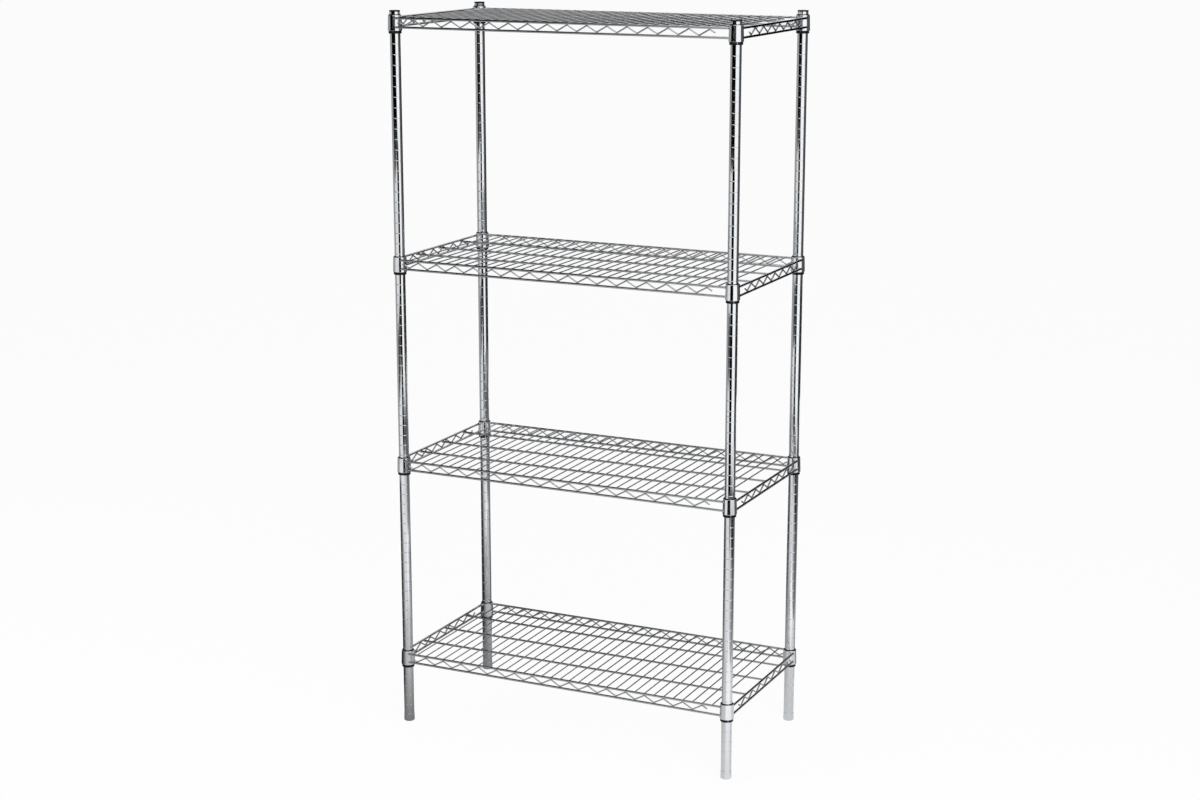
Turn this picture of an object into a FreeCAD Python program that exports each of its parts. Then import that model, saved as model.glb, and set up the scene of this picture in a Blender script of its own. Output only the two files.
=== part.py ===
import FreeCAD, Part
import math
import os

# A chrome wire shelving unit: four grooved posts, each screwed together from two halves, and four wire
# shelves whose corner collars sit on tapered split sleeves clipped into the grooves of the posts.
# Millimetres. X runs along the shelves, Y from front to back, Z up. The origin is on the floor,
# under the middle of the unit.

# Shelf sizes, over the corner collars
shelf_length = 914.4
shelf_depth = 457.2

# Posts
post_diameter = 25.4
post_wall = 1.2
groove_pitch = 25.4
groove_width = 1.6
groove_depth = 0.5
joint_chamfer = 0.5

# Shelf heights, counted in grooves from the bottom of the post
bottom_shelf_groove = 6
grooves_to_second_shelf = 20
grooves_to_third_shelf = 20
grooves_to_top_shelf = 23

# Split sleeves
sleeve_top_wall = 1.45
sleeve_bottom_wall = 3.15
sleeve_above_collar = 1.8
sleeve_below_collar = 6.6
sleeve_chamfer = 0.8
sleeve_ridge_height = 26.3
sleeve_split_gap = 2.0
sleeve_split_angle = 35.0
sleeve_clearance = 0.05
ridge_clearance = 0.2

# Corner collars
collar_height = 37.0
collar_wall = 1.75
collar_taper = 1.1
collar_bottom_round = 1.3
collar_top_round = 0.6
collar_clearance = 0.05

# Wires of a shelf
rail_diameter = 5.6
rail_inset = 5.5
top_rail_drop = 7.0
rail_spacing = 21.5
zigzag_diameter = 3.6
zigzag_bend_radius = 4.0
deck_wire_diameter = 3.2
deck_wire_pitch = 25.4
deck_wire_margin = 30.0
deck_wire_end_inset = 1.2
support_rod_diameter = 5.2
support_rod_count = 3
support_rod_end_inset = 1.2
end_zigzag_margin = 50.0
weld_set_down = 0.3

# Post caps
cap_rim_height = 3.0
cap_rim_overhang = 0.5
cap_rim_round = 1.2
cap_plug_length = 14.0
plug_clearance = 0.02

# Studs that join the post halves
stud_length = 80.0
stud_wall = 2.5

# Levelling feet
foot_height = 21.0
foot_top_overhang = 0.3
foot_bottom_overhang = 0.9
foot_bottom_round = 3.6
foot_top_round = 0.5
foot_floor_thickness = 5.0
insert_length = 25.0
stem_diameter = 10.0
stem_length = 52.0
stem_head_diameter = 16.0
stem_head_height = 4.0
stem_chamfer = 1.0
thread_clearance = 0.05
head_clearance = 0.08

# Radii
post_radius = post_diameter / 2
bore_radius = post_radius - post_wall
rail_radius = rail_diameter / 2
zigzag_radius = zigzag_diameter / 2
deck_wire_radius = deck_wire_diameter / 2
support_rod_radius = support_rod_diameter / 2

# A sleeve's taper, measured from its bottom edge, and the collar that sits on it
sleeve_height = sleeve_below_collar + collar_height + sleeve_above_collar
sleeve_inner_radius = post_radius + sleeve_clearance
sleeve_bottom_radius = sleeve_inner_radius + sleeve_bottom_wall
sleeve_top_radius = sleeve_inner_radius + sleeve_top_wall


def sleeve_radius(height):
    """Outer radius of a sleeve at a height above its bottom edge."""
    return sleeve_bottom_radius + (sleeve_top_radius - sleeve_bottom_radius) * height / sleeve_height


collar_bottom_bore = sleeve_radius(sleeve_below_collar) + collar_clearance
collar_top_bore = sleeve_radius(sleeve_below_collar + collar_height) + collar_clearance
collar_bottom_radius = collar_bottom_bore + collar_wall
collar_top_radius = collar_bottom_radius - collar_taper

# Places of the posts and the rails
post_x = shelf_length / 2 - collar_bottom_radius
post_y = shelf_depth / 2 - collar_bottom_radius
rail_x = shelf_length / 2 - rail_inset
rail_y = shelf_depth / 2 - rail_inset
corners = {
    "front_left": (-1, -1),
    "front_right": (1, -1),
    "back_right": (1, 1),
    "back_left": (-1, 1),
}

# Heights of the posts
shelf_grooves = {"bottom": bottom_shelf_groove}
shelf_grooves["second"] = shelf_grooves["bottom"] + grooves_to_second_shelf
shelf_grooves["third"] = shelf_grooves["second"] + grooves_to_third_shelf
shelf_grooves["top"] = shelf_grooves["third"] + grooves_to_top_shelf
groove_count = shelf_grooves["top"]
lower_groove_count = groove_count // 2
post_bottom_z = foot_height
post_joint_z = post_bottom_z + groove_pitch * (lower_groove_count + 0.5)
post_top_z = post_bottom_z + groove_pitch * (groove_count + 1)

# Heights within a shelf, from the bottom edge of its collars
top_rail_z = collar_height - top_rail_drop
bottom_rail_z = top_rail_z - rail_spacing
deck_wire_z = top_rail_z + rail_radius - deck_wire_radius
support_rod_z = deck_wire_z - deck_wire_radius - support_rod_radius + weld_set_down
zigzag_top_z = top_rail_z - rail_radius - zigzag_radius + weld_set_down
zigzag_bottom_z = bottom_rail_z + rail_radius + zigzag_radius - weld_set_down

# Counts of the wires that fit between the posts
deck_wire_gaps = int((2 * post_x - 2 * deck_wire_margin) / deck_wire_pitch)
end_zigzag_gaps = 2 * int((post_y - end_zigzag_margin) / deck_wire_pitch)


def groove_z(number):
    """Height of a groove, counted from the bottom of the post."""
    return post_bottom_z + groove_pitch * number


def collar_bottom_z(shelf):
    """Height of the bottom edge of a shelf's collars, on sleeves whose ridge sits in a groove."""
    return groove_z(shelf_grooves[shelf]) - sleeve_ridge_height + sleeve_below_collar


def point(radius, height):
    return FreeCAD.Vector(radius, 0, height)


def turned(edges):
    """A solid turned about Z from the closed outline that these edges make."""
    face = Part.Face(Part.Wire(edges))
    return face.revolve(FreeCAD.Vector(0, 0, 0), FreeCAD.Vector(0, 0, 1), 360)


def rounded_outline(outline):
    """The edges of a closed outline of (radius, height) or (radius, height, rounding) corners."""
    firsts = []
    lasts = []
    edges = []
    for index, corner in enumerate(outline):
        here = point(corner[0], corner[1])
        before = point(*outline[index - 1][:2])
        after = point(*outline[(index + 1) % len(outline)][:2])
        first = here
        last = here
        if len(corner) == 3:
            back = (before - here).normalize()
            onward = (after - here).normalize()
            half_turn = back.getAngle(onward) / 2
            run = corner[2] / math.tan(half_turn)
            first = here + back * run
            last = here + onward * run
            inward = (back + onward).normalize()
            middle = here + inward * (corner[2] / math.sin(half_turn) - corner[2])
            edges.append(Part.Arc(first, middle, last).toShape())
        firsts.append(first)
        lasts.append(last)
    for index, first in enumerate(firsts):
        edges.append(Part.LineSegment(lasts[index - 1], first).toShape())
    return Part.sortEdges(edges)[0]


def moved(shape, x, y, z):
    copy = shape.copy()
    copy.translate(FreeCAD.Vector(x, y, z))
    return copy


def at_corner(shape, signs, z=0):
    """A copy of a shape on the axis of one post."""
    return moved(shape, signs[0] * post_x, signs[1] * post_y, z)


def rod(radius, start, end):
    run = end - start
    return Part.makeCylinder(radius, run.Length, start, run)


def write(name, shapes):
    Part.makeCompound(shapes).exportStep(os.path.join("parts", name + ".step"))


def post_half(bottom, top, grooves, bottom_chamfer, top_chamfer):
    """A length of tube with rolled grooves around it."""
    edges = []
    corner = point(post_radius, bottom + bottom_chamfer)
    for number in grooves:
        middle = groove_z(number)
        into = point(post_radius, middle - groove_width / 2)
        root = point(post_radius - groove_depth, middle)
        out = point(post_radius, middle + groove_width / 2)
        edges.append(Part.LineSegment(corner, into).toShape())
        edges.append(Part.Arc(into, root, out).toShape())
        corner = out
    close = [point(post_radius, top - top_chamfer)]
    if top_chamfer:
        close.append(point(post_radius - top_chamfer, top))
    close.append(point(bore_radius, top))
    close.append(point(bore_radius, bottom))
    if bottom_chamfer:
        close.append(point(post_radius - bottom_chamfer, bottom))
    close.append(point(post_radius, bottom + bottom_chamfer))
    for end in close:
        edges.append(Part.LineSegment(corner, end).toShape())
        corner = end
    return turned(edges)


def lower_post():
    grooves = range(1, lower_groove_count + 1)
    return post_half(post_bottom_z, post_joint_z, grooves, 0, joint_chamfer)


def upper_post():
    grooves = range(lower_groove_count + 1, groove_count + 1)
    return post_half(post_joint_z, post_top_z, grooves, joint_chamfer, 0)


def joining_stud():
    """The hollow stud inside a post, half of it in each half of the post."""
    outside = bore_radius - plug_clearance
    inside = outside - stud_wall
    bottom = post_joint_z - stud_length / 2
    top = post_joint_z + stud_length / 2
    return turned(rounded_outline([(inside, bottom), (outside, bottom), (outside, top), (inside, top)]))


def post_cap():
    """A cap whose plug fills the end of the post and whose rim rests on it."""
    plug = bore_radius - plug_clearance
    rim = post_radius + cap_rim_overhang
    top = post_top_z + cap_rim_height
    outline = [
        (0, post_top_z - cap_plug_length),
        (plug, post_top_z - cap_plug_length),
        (plug, post_top_z),
        (rim, post_top_z),
        (rim, top, cap_rim_round),
        (0, top),
    ]
    return turned(rounded_outline(outline))


def foot_insert():
    """The threaded insert pressed into the bottom of a post."""
    outside = bore_radius - plug_clearance
    inside = stem_diameter / 2
    top = post_bottom_z + insert_length
    outline = [(inside, post_bottom_z), (outside, post_bottom_z), (outside, top), (inside, top)]
    return turned(rounded_outline(outline))


def foot_stem():
    """The levelling screw: a plain cylinder for its thread, with the head that turns in the foot cup."""
    thread = stem_diameter / 2 - thread_clearance
    head = stem_head_diameter / 2
    bottom = foot_floor_thickness
    shoulder = bottom + stem_head_height
    top = bottom + stem_length
    outline = [
        (0, bottom),
        (head, bottom),
        (head, shoulder),
        (thread, shoulder),
        (thread, top - stem_chamfer),
        (thread - stem_chamfer, top),
        (0, top),
    ]
    return turned(rounded_outline(outline))


def foot_cup():
    """The foot: a cup closed over the head of its screw, with a flat underside."""
    neck = stem_diameter / 2 + thread_clearance
    pocket = stem_head_diameter / 2 + head_clearance
    pocket_top = foot_floor_thickness + stem_head_height + head_clearance
    outline = [
        (0, 0),
        (post_radius + foot_bottom_overhang, 0, foot_bottom_round),
        (post_radius + foot_top_overhang, foot_height, foot_top_round),
        (neck, foot_height),
        (neck, pocket_top),
        (pocket, pocket_top),
        (pocket, foot_floor_thickness),
        (0, foot_floor_thickness),
    ]
    return turned(rounded_outline(outline))


def sleeve_halves(signs):
    """Two half sleeves around the Z axis, bottom edge at Z = 0, split along a plane through one corner."""
    ridge_half = groove_width / 2 - ridge_clearance
    ridge_root = post_radius - groove_depth + ridge_clearance
    outline = [
        point(sleeve_inner_radius, sleeve_ridge_height + ridge_half),
        point(sleeve_inner_radius, sleeve_height),
        point(sleeve_top_radius, sleeve_height),
        point(sleeve_radius(sleeve_chamfer), sleeve_chamfer),
        point(sleeve_radius(sleeve_chamfer) - sleeve_chamfer / 2, 0),
        point(sleeve_inner_radius, 0),
        point(sleeve_inner_radius, sleeve_ridge_height - ridge_half),
    ]
    edges = [Part.LineSegment(a, b).toShape() for a, b in zip(outline, outline[1:])]
    edges.append(Part.Arc(outline[-1], point(ridge_root, sleeve_ridge_height), outline[0]).toShape())
    ring = turned(edges)
    reach = 2 * sleeve_bottom_radius
    corner = FreeCAD.Vector(-reach / 2, -sleeve_split_gap / 2, 0)
    slot = Part.makeBox(reach, sleeve_split_gap, sleeve_height, corner)
    split = math.radians(sleeve_split_angle)
    turn = math.degrees(math.atan2(signs[1] * math.cos(split), signs[0] * math.sin(split)))
    slot.rotate(FreeCAD.Vector(0, 0, 0), FreeCAD.Vector(0, 0, 1), turn)
    return ring.cut(slot)


def collar():
    """A tapered corner collar around the Z axis, bottom edge at Z = 0."""
    outline = [
        (collar_bottom_bore, 0),
        (collar_bottom_radius, 0, collar_bottom_round),
        (collar_top_radius, collar_height, collar_top_round),
        (collar_top_bore, collar_height),
    ]
    return turned(rounded_outline(outline))


def collar_cope():
    """What a collar takes out of the end of a rail, less the depth that the weld sinks it."""
    bottom = collar_bottom_radius - weld_set_down
    top = collar_top_radius - weld_set_down
    outline = [(0, 0), (bottom, 0), (top, collar_height), (0, collar_height)]
    return turned(rounded_outline(outline))


def coped(rail, copes):
    for cope in copes:
        rail = rail.cut(cope)
    return rail.Solids[0]


def long_rails():
    copes = [at_corner(collar_cope(), signs) for signs in corners.values()]
    rails = []
    for y in (-rail_y, rail_y):
        for z in (bottom_rail_z, top_rail_z):
            start = FreeCAD.Vector(-post_x, y, z)
            end = FreeCAD.Vector(post_x, y, z)
            rails.append(coped(rod(rail_radius, start, end), copes))
    return rails


def end_rails():
    copes = [at_corner(collar_cope(), signs) for signs in corners.values()]
    rails = []
    for x in (-rail_x, rail_x):
        for z in (bottom_rail_z, top_rail_z):
            start = FreeCAD.Vector(x, -post_y, z)
            end = FreeCAD.Vector(x, post_y, z)
            rails.append(coped(rod(rail_radius, start, end), copes))
    return rails


def zigzag(first, gaps):
    """A zigzag wire in the XZ plane: bends at every deck wire pitch, the first one at the bottom."""
    rise = zigzag_top_z - zigzag_bottom_z
    middle = (zigzag_top_z + zigzag_bottom_z) / 2
    centre_rise = rise - 2 * zigzag_bend_radius
    centre_run = math.hypot(deck_wire_pitch, centre_rise)
    slope = math.atan2(centre_rise, deck_wire_pitch) + math.asin(2 * zigzag_bend_radius / centre_run)
    across = zigzag_bend_radius * math.sin(slope)
    beyond = zigzag_bend_radius * math.cos(slope)
    edges = []
    start = FreeCAD.Vector(first - deck_wire_pitch / 2, 0, middle)
    here = start
    for bend in range(gaps + 1):
        side = -1 if bend % 2 == 0 else 1
        centre = FreeCAD.Vector(first + bend * deck_wire_pitch, 0, middle + side * centre_rise / 2)
        into = centre + FreeCAD.Vector(-across, 0, side * beyond)
        crest = centre + FreeCAD.Vector(0, 0, side * zigzag_bend_radius)
        out = centre + FreeCAD.Vector(across, 0, side * beyond)
        edges.append(Part.LineSegment(here, into).toShape())
        edges.append(Part.Arc(into, crest, out).toShape())
        here = out
    end = FreeCAD.Vector(first + (gaps + 0.5) * deck_wire_pitch, 0, middle)
    edges.append(Part.LineSegment(here, end).toShape())
    heading = edges[0].tangentAt(edges[0].FirstParameter)
    section = Part.Wire([Part.makeCircle(zigzag_radius, start, heading)])
    return Part.Wire(edges).makePipeShell([section], True, False)


def long_zigzags():
    """One zigzag along the front, and the same one turned half round along the back."""
    first = -deck_wire_gaps * deck_wire_pitch / 2
    front = moved(zigzag(first, deck_wire_gaps - 1), 0, -rail_y, 0)
    back = front.copy()
    back.rotate(FreeCAD.Vector(0, 0, 0), FreeCAD.Vector(0, 0, 1), 180)
    return [front, back]


def end_zigzags():
    across = zigzag(-end_zigzag_gaps * deck_wire_pitch / 2, end_zigzag_gaps)
    across.rotate(FreeCAD.Vector(0, 0, 0), FreeCAD.Vector(0, 0, 1), 90)
    return [moved(across, x, 0, 0) for x in (-rail_x, rail_x)]


def deck_wires():
    """Wires from front to back that lie on the support rods and end in the long top rails, level with them."""
    half = rail_y - deck_wire_end_inset
    wires = []
    for number in range(deck_wire_gaps + 1):
        x = (number - deck_wire_gaps / 2) * deck_wire_pitch
        start = FreeCAD.Vector(x, -half, deck_wire_z)
        end = FreeCAD.Vector(x, half, deck_wire_z)
        wires.append(rod(deck_wire_radius, start, end))
    return wires


def support_rods():
    """Rods under the deck wires, evenly spaced, that end in the lower sides of the top rails of the two ends."""
    half = rail_x - support_rod_end_inset
    rods = []
    for number in range(support_rod_count):
        y = -rail_y + 2 * rail_y * (number + 1) / (support_rod_count + 1)
        start = FreeCAD.Vector(-half, y, support_rod_z)
        end = FreeCAD.Vector(half, y, support_rod_z)
        rods.append(rod(support_rod_radius, start, end))
    return rods


def write_posts():
    write("post_joining_studs", [at_corner(joining_stud(), signs) for signs in corners.values()])
    pieces = {
        "lower_post": lower_post(),
        "upper_post": upper_post(),
        "post_cap": post_cap(),
        "foot_insert": foot_insert(),
        "foot_stem": foot_stem(),
        "foot_cup": foot_cup(),
    }
    for piece, shape in pieces.items():
        for corner, signs in corners.items():
            write(piece + "_" + corner, [at_corner(shape, signs)])


def write_shelves():
    pieces = {
        "collars": [at_corner(collar(), signs) for signs in corners.values()],
        "long_rails": long_rails(),
        "end_rails": end_rails(),
        "long_zigzags": long_zigzags(),
        "end_zigzags": end_zigzags(),
        "deck_wires": deck_wires(),
        "support_rods": support_rods(),
    }
    halves = []
    for signs in corners.values():
        halves += at_corner(sleeve_halves(signs), signs).Solids
    for shelf in shelf_grooves:
        base = collar_bottom_z(shelf)
        for piece, shapes in pieces.items():
            write(shelf + "_shelf_" + piece, [moved(shape, 0, 0, base) for shape in shapes])
        sleeves = [moved(half, 0, 0, base - sleeve_below_collar) for half in halves]
        write(shelf + "_shelf_sleeves", sleeves)


os.makedirs("parts", exist_ok=True)
write_posts()
write_shelves()
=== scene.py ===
"""A chrome wire shelving unit, dressed over its CAD frame. Laid out as an add-on and run as a script."""

import functools
import math
from types import SimpleNamespace

import bmesh
import bpy
from bpy.props import FloatProperty, FloatVectorProperty, IntProperty, PointerProperty
from mathutils import Matrix, Vector


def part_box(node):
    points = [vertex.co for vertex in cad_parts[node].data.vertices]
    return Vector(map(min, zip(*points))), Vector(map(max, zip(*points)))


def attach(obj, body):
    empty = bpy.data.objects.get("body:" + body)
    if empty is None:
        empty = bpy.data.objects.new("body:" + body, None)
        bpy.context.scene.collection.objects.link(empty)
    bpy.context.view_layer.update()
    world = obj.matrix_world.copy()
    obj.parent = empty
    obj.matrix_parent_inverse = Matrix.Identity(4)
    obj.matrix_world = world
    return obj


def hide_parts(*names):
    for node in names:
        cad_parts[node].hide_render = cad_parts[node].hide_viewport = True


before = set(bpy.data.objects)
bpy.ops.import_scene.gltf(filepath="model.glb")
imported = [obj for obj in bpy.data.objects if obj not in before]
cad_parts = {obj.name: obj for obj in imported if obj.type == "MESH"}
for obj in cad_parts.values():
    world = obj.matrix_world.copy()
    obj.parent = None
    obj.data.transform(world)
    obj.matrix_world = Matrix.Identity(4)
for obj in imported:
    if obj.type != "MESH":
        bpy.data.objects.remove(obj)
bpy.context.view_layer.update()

bl_info = {
    "name": "Wire Shelving Unit",
    "version": (1, 0, 0),
    "blender": (4, 5, 0),
    "location": "3D View > Sidebar > Shelving",
    "description": "Builds the grooved posts, wire shelves, collars and feet of a chrome shelving unit",
    "category": "Add Mesh",
}

SHELVES = ("bottom", "second", "third", "top")
CORNERS = ("front_left", "front_right", "back_right", "back_left")

# Outlines are turned about a circle of this radius, which only has to be larger than nothing.
TURNING_RADIUS = 0.01
# What a vertex of a turned piece's outline is for.
SHELL, REPEATED, PLACE = 0, 1, 2
# Rounding of edges that are only broken, on pieces and on thin walls.
BROKEN_EDGE, FINE_EDGE = 0.0003, 0.0002
# A point at this many times a chamfer's size keeps the shading of the flat beside it flat.
HOLD = 1.6
# Straight steps across a rolled groove.
GROOVE_STEPS = 10
# Points closer than this become one: where the rings of a turned piece meet, and in a closed shell.
RING_MERGE, SHELL_MERGE = 2e-6, 1e-6
# Distance of the studio's standing cards from the front right post, around which they are bent.
CARD_DISTANCE = 3.2
# Degrees between two points of a bent card.
CARD_STEP = 4
# What the lamps point at, halfway up the unit.
LAMP_AIM = Vector((0.0, 0.0, 0.9))


def linear(code):
    """An sRGB hex value as linear RGBA."""
    parts = [int(code[i : i + 2], 16) / 255 for i in (1, 3, 5)]
    return (*(c / 12.92 if c <= 0.04045 else ((c + 0.055) / 1.055) ** 2.4 for c in parts), 1.0)


def length(name, description, default):
    """A size in metres."""
    return FloatProperty(
        name=name, description=description, default=default, min=0.0, precision=5, unit="LENGTH"
    )


def colour(name, description, default):
    """A colour, given as an sRGB hex value."""
    return FloatVectorProperty(
        name=name, description=description, default=linear(default), size=4, min=0.0, max=1.0, subtype="COLOR"
    )


def setting(name, description, default, unit="NONE"):
    """A number of the studio."""
    return FloatProperty(name=name, description=description, default=default, unit=unit)


def share(name, description, default):
    """A share of another size."""
    return FloatProperty(
        name=name, description=description, default=default, min=0.0, max=1.0, subtype="FACTOR"
    )


def count(name, description, default):
    """A number of faces around a piece."""
    return IntProperty(name=name, description=description, default=default, min=6)


class PostSizes(bpy.types.PropertyGroup):
    """Sizes of the grooved posts"""

    tube_diameter: length("Tube Diameter", "Outside diameter of a post", 0.0254)
    tube_wall: length("Tube Wall", "Wall thickness of a post", 0.0012)
    groove_pitch: length("Groove Pitch", "Height between two grooves", 0.0254)
    groove_width: length("Groove Width", "Width of a rolled groove, without its rounded shoulders", 0.0012)
    groove_depth: length("Groove Depth", "Depth of a rolled groove", 0.0002)
    shoulder: length("Groove Shoulder", "Rounding where the tube rolls into a groove", 0.0002)
    joint_chamfer: length("Joint Chamfer", "Chamfer where the two halves of a post meet", 0.0005)
    joint_lip: length("Joint Lip", "Plain stretch beside the joint, with room for its chamfer", 0.001)
    end_chamfer: length("End Chamfer", "Chamfer at the free end of a half post", 0.0002)
    sides: count("Sides", "Faces around a post", 64)


class WireSizes(bpy.types.PropertyGroup):
    """Sizes of the wires and welds of a shelf"""

    rail_diameter: length("Rail Diameter", "Wire diameter of the rails around a shelf", 0.0056)
    zigzag_diameter: length("Zigzag Diameter", "Wire diameter of the zigzags between the rails", 0.0036)
    zigzag_bend: length("Zigzag Bend", "Bend radius of the zigzags, at the middle of the wire", 0.004)
    deck_diameter: length("Deck Wire Diameter", "Diameter of the wires that goods stand on", 0.0032)
    deck_pitch: length("Deck Wire Pitch", "Distance between two deck wires", 0.0254)
    rod_diameter: length("Support Rod Diameter", "Diameter of the rods under the deck wires", 0.0052)
    sink: length("Weld Sink", "How far a welded wire sinks into what carries it", 0.0003)
    weld_height: length("Weld Height", "Half the height of the metal squeezed out at a weld", 0.0007)
    bead_width: length("Bead Width", "Half the width of the beads between rails and collars", 0.0031)
    sides: count("Sides", "Faces around a deck wire or a rod", 16)
    rail_sides: count("Rail Sides", "Faces around a rail", 20)
    zigzag_sides: count("Zigzag Sides", "Faces around a zigzag wire", 12)


class FittingSizes(bpy.types.PropertyGroup):
    """Sizes of the collars, caps and levelling screws"""

    collar_sides: count("Collar Sides", "Faces around a collar", 72)
    collar_taper: length("Collar Taper", "How much smaller a collar's radius is at its top", 0.0011)
    collar_bottom_round: length("Collar Bottom Rounding", "Rounding of a collar's lower edge", 0.0008)
    collar_top_round: length("Collar Top Rounding", "Rounding of a collar's upper edge", 0.0006)
    collar_bottom_bore: length("Collar Bottom Bore", "Bore radius at a collar's lower edge", 0.015703)
    collar_top_bore: length("Collar Top Bore", "Bore radius at a collar's upper edge", 0.014317)
    cap_rim: length("Cap Rim", "Height of the rim that rests on a post", 0.003)
    cap_round: length("Cap Rounding", "Rounding of a cap's upper edge", 0.0012)
    cap_play: length("Cap Play", "Gap between a cap's plug and its post", 0.00002)
    gate_radius: length("Gate Radius", "Radius of the moulding dimple in the middle of a cap", 0.0026)
    gate_depth: length("Gate Depth", "Depth of the moulding dimple", 0.0006)
    gate_slope: length("Gate Slope", "How much wider the moulding dimple is at its top", 0.0004)
    plug_round: length("Plug Rounding", "Rounding of the lower edge of a cap's plug", 0.0008)
    thread_diameter: length("Thread Diameter", "Outside diameter of the levelling screw's thread", 0.0099)
    thread_pitch: length("Thread Pitch", "Rise of the levelling screw in one turn", 0.0015)
    thread_depth: length("Thread Depth", "Depth of the levelling screw's thread", 0.0008)
    thread_foot: share("Thread Foot", "Width of the ridge at its foot, as a share of the pitch", 0.86)
    thread_crest: share("Thread Crest", "Width of the ridge at its crest, as a share of its foot", 0.14)
    thread_sink: length("Thread Sink", "How far the ridge is sunk into the screw's core", 0.0002)
    tip_width: length("Screw Tip Width", "How much smaller the screw's core is at its tip", 0.0004)
    tip_height: length("Screw Tip Height", "Height of the chamfer at the screw's tip", 0.0008)
    head_height: length("Screw Head Height", "Height of the levelling screw's head", 0.004)
    head_round: length("Screw Head Rounding", "Rounding of the edges of the screw's head", 0.0004)


class FinishColours(bpy.types.PropertyGroup):
    """Colours of the finishes"""

    chrome: colour("Chrome", "Bright chrome plate", "#e3e5e7")
    chrome_haze: colour("Chrome Haze", "Chrome plate where handling has hazed it", "#d3d6d9")
    # The wire tints are darker than the posts' chrome: painted shade that makes the thin wires look darker.
    wire: colour("Wire Chrome", "Chrome plate on the wires, less polished than the posts", "#c4c6c8")
    wire_haze: colour("Wire Haze", "Chrome plate on the wires where it is duller", "#b2b5b9")
    weld: colour("Plated Weld", "Chrome plate over a weld", "#54575a")
    zinc: colour("Zinc", "Zinc plate on the levelling screws", "#b7bbbf")
    zinc_dark: colour("Zinc Bloom", "Duller crystals in the zinc plate", "#94999f")
    plastic: colour("Black Plastic", "Moulded black caps and sleeves", "#080809")
    plastic_worn: colour("Worn Plastic", "Paler bloom on the black plastic", "#121214")


class StudioSettings(bpy.types.PropertyGroup):
    """The camera, the lamps, the room and the floor"""

    lens: setting("Lens", "Focal length for a 36 mm wide sensor", 66.0, "CAMERA")
    camera_place: FloatVectorProperty(
        name="Camera Place",
        description="Where the camera stands",
        default=(2.3002, -4.806, 2.0985),
        unit="LENGTH",
    )
    camera_turn: setting("Camera Turn", "How far to the left the camera looks", 0.4459, "ROTATION")
    camera_dip: setting("Camera Dip", "How far down the camera looks", 0.231, "ROTATION")
    key_power: setting("Key Power", "Power of the large soft lamp at the right", 110.0, "POWER")
    fill_power: setting("Fill Power", "Power of the soft lamp at the left", 45.0, "POWER")
    room_light: setting("Room Light", "Brightness of the white room on matt surfaces", 0.55)
    floor_colour: colour("Floor Colour", "Matt paint of the floor", "#f4f4f4")
    floor_glow: share("Floor Glow", "Share of plain white in the floor, whose rest keeps the shadow", 0.93)
    floor_reach: length("Floor Reach", "Half the width of the floor", 90.0)


GROUPS = {
    "shelving_posts": PostSizes,
    "shelving_wires": WireSizes,
    "shelving_fittings": FittingSizes,
    "shelving_finishes": FinishColours,
    "shelving_studio": StudioSettings,
}


def add_node(tree, kind, inputs=None, **settings):
    """Adds a node with its settings and gives its outputs. An input takes a value, a link or a list."""
    made = tree.nodes.new(kind)
    for name, value in settings.items():
        setattr(made, name, value)
    for socket, value in (inputs or {}).items():
        for one in value if isinstance(value, list) else [value]:
            if isinstance(one, bpy.types.NodeSocket):
                tree.links.new(one, made.inputs[socket])
            else:
                made.inputs[socket].default_value = one
    return made.outputs


def input_name(word):
    """A keyword as the name of a tree's input."""
    return word.replace("_", " ").title()


def geometry_tree(name, **sizes):
    """A geometry node tree with named inputs. Gives the tree and what it is given."""
    tree = bpy.data.node_groups.new(name, "GeometryNodeTree")
    kinds = {float: "NodeSocketFloat", int: "NodeSocketInt", tuple: "NodeSocketVector"}
    tree.interface.new_socket("Geometry", in_out="INPUT", socket_type="NodeSocketGeometry")
    tree.interface.new_socket("Geometry", in_out="OUTPUT", socket_type="NodeSocketGeometry")
    for word, default in sizes.items():
        kind = kinds[type(default)]
        socket = tree.interface.new_socket(input_name(word), in_out="INPUT", socket_type=kind)
        socket.default_value = default
    tree.interface.new_socket("Material", in_out="INPUT", socket_type="NodeSocketMaterial")
    return tree, add_node(tree, "NodeGroupInput")


def close_tree(tree, given, geometry):
    """Ends a tree in plain geometry with the material that it is given."""
    plain = add_node(tree, "GeometryNodeRealizeInstances", {"Geometry": geometry})["Geometry"]
    painted = add_node(tree, "GeometryNodeSetMaterial", {"Geometry": plain, "Material": given["Material"]})
    add_node(tree, "NodeGroupOutput", {"Geometry": painted["Geometry"]})
    return tree


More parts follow.
